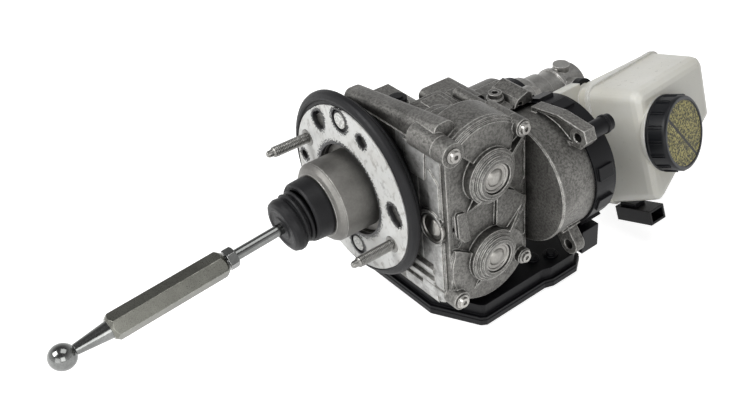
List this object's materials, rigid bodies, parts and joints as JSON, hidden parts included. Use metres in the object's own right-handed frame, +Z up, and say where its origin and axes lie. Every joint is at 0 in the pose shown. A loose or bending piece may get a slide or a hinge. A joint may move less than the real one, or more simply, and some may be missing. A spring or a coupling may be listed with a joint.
{
  "type": "brake booster",
  "caption": "Electromechanical brake booster lying on its control unit, with a drooping pedal rod, bulkhead flange, gearbox, motor, master cylinder and fluid reservoir.",
  "frame": {"origin": "centre of the front face of the bulkhead flange, on the axis of the push rod and master cylinder", "axes": "-Y towards the pedal, +Y towards the master cylinder, +X towards the gear cover, +Z up as the unit lies on its control unit"},
  "size_m": [0.2017, 0.5153, 0.1721],
  "materials": {
    "white_paint": "scuffed white coat",
    "black_rubber": "satin",
    "bright_steel": "polished",
    "drawn_steel": "satin",
    "zinc_steel": "zinc plated",
    "cast_aluminium": "sand cast, matt",
    "black_plastic": "fine grain",
    "reservoir_plastic": "translucent white",
    "gear_polymer": "smooth",
    "magnet_iron": "ground",
    "stator_iron": "lacquered",
    "board_green": "lacquered"
  },
  "bodies": {
    "unit": {"flange_plate": "white_paint", "bulkhead_gasket": "black_rubber", "mounting_studs": "zinc_steel", "plate_plugs": "white_paint", "guide_collar": "drawn_steel", "gearbox_housing": "cast_aluminium", "front_wall": "cast_aluminium", "front_pad": "cast_aluminium", "gear_cover": "cast_aluminium", "cover_screws": "zinc_steel", "bearing_plugs": "bright_steel", "shaft_bearings": "bright_steel", "vent_plug": "black_plastic", "motor_housing": "cast_aluminium", "motor_end_ring": "black_plastic", "stator": "stator_iron", "ring_sleeve": "black_plastic", "motor_connector": "black_plastic", "ecu_case": "black_plastic", "ecu_cover": "black_plastic", "circuit_board": "board_green", "ecu_connector": "black_plastic", "ecu_screws": "black_plastic", "master_cylinder": "cast_aluminium", "cylinder_nuts": "zinc_steel", "cylinder_bracket": "black_plastic", "reservoir_lower": "reservoir_plastic", "reservoir_upper": "reservoir_plastic", "reservoir_grommets": "black_rubber", "level_socket": "black_plastic", "return_spring": "bright_steel", "primary_spring": "bright_steel", "secondary_spring": "bright_steel", "rod_boot": "black_rubber"},
    "plunger": {"input_plunger": "bright_steel", "rack_carrier": "bright_steel"},
    "pedal_rod": {"push_rod": "bright_steel", "jam_nut": "zinc_steel", "hex_sleeve": "zinc_steel", "ball_stud": "bright_steel"},
    "upper_gear": {"upper_shaft": "bright_steel", "upper_wheel": "gear_polymer"},
    "lower_gear": {"lower_shaft": "bright_steel", "lower_wheel": "gear_polymer"},
    "motor_rotor": {"worm_shaft": "bright_steel", "rotor": "magnet_iron"},
    "primary": {"primary_piston": "bright_steel"},
    "secondary": {"secondary_piston": "bright_steel"},
    "cap_lift": {"cap_seal": "black_rubber"},
    "cap": {"filler_cap": "black_plastic"}
  },
  "joints": [
    {"name": "motor_spin", "type": "hinge", "parent": "unit", "child": "motor_rotor", "pos_m": [0.0754, 0.08, 0], "axis": [0, 1, 0], "range_deg": [0, 2139.04]},
    {"name": "pedal_stroke", "type": "slide", "parent": "unit", "child": "plunger", "axis": [0, 1, 0], "range_m": [0, 0.032], "deforming": ["return_spring", "rod_boot"]},
    {"name": "rod_swing", "type": "hinge", "parent": "plunger", "child": "pedal_rod", "pos_m": [0, -0.008, 0], "axis": [-1, 0, 0], "range_deg": [0, 10.8], "deforming": ["rod_boot"]},
    {"name": "upper_shaft_spin", "type": "hinge", "parent": "unit", "child": "upper_gear", "pos_m": [0, 0.0525, 0.0336], "axis": [1, 0, 0], "range_deg": [0, 152.79]},
    {"name": "lower_shaft_spin", "type": "hinge", "parent": "unit", "child": "lower_gear", "pos_m": [0, 0.0525, -0.0336], "axis": [-1, 0, 0], "range_deg": [0, 152.79]},
    {"name": "primary_travel", "type": "slide", "parent": "unit", "child": "primary", "axis": [0, 1, 0], "range_m": [0, 0.032], "deforming": ["primary_spring"]},
    {"name": "secondary_travel", "type": "slide", "parent": "unit", "child": "secondary", "axis": [0, 1, 0], "range_m": [0, 0.016], "deforming": ["primary_spring", "secondary_spring"]},
    {"name": "cap_lift_off", "type": "slide", "parent": "unit", "child": "cap_lift", "axis": [0.9253, 0.1908, 0.3277], "range_m": [0, 0.03]},
    {"name": "cap_turn", "type": "hinge", "parent": "cap_lift", "child": "cap", "pos_m": [0.10763, 0.2177, 0.00183], "axis": [0.9253, 0.1908, 0.3277], "range_deg": [0, 120]}
  ],
  "couplings": [
    {"joint": "motor_spin", "follows": "pedal_stroke", "rad_per_m": 1166.7},
    {"joint": "upper_shaft_spin", "follows": "pedal_stroke", "rad_per_m": 83.333},
    {"joint": "lower_shaft_spin", "follows": "pedal_stroke", "rad_per_m": 83.333},
    {"joint": "primary_travel", "follows": "pedal_stroke", "ratio": 1},
    {"joint": "secondary_travel", "follows": "pedal_stroke", "ratio": 0.5}
  ]
}
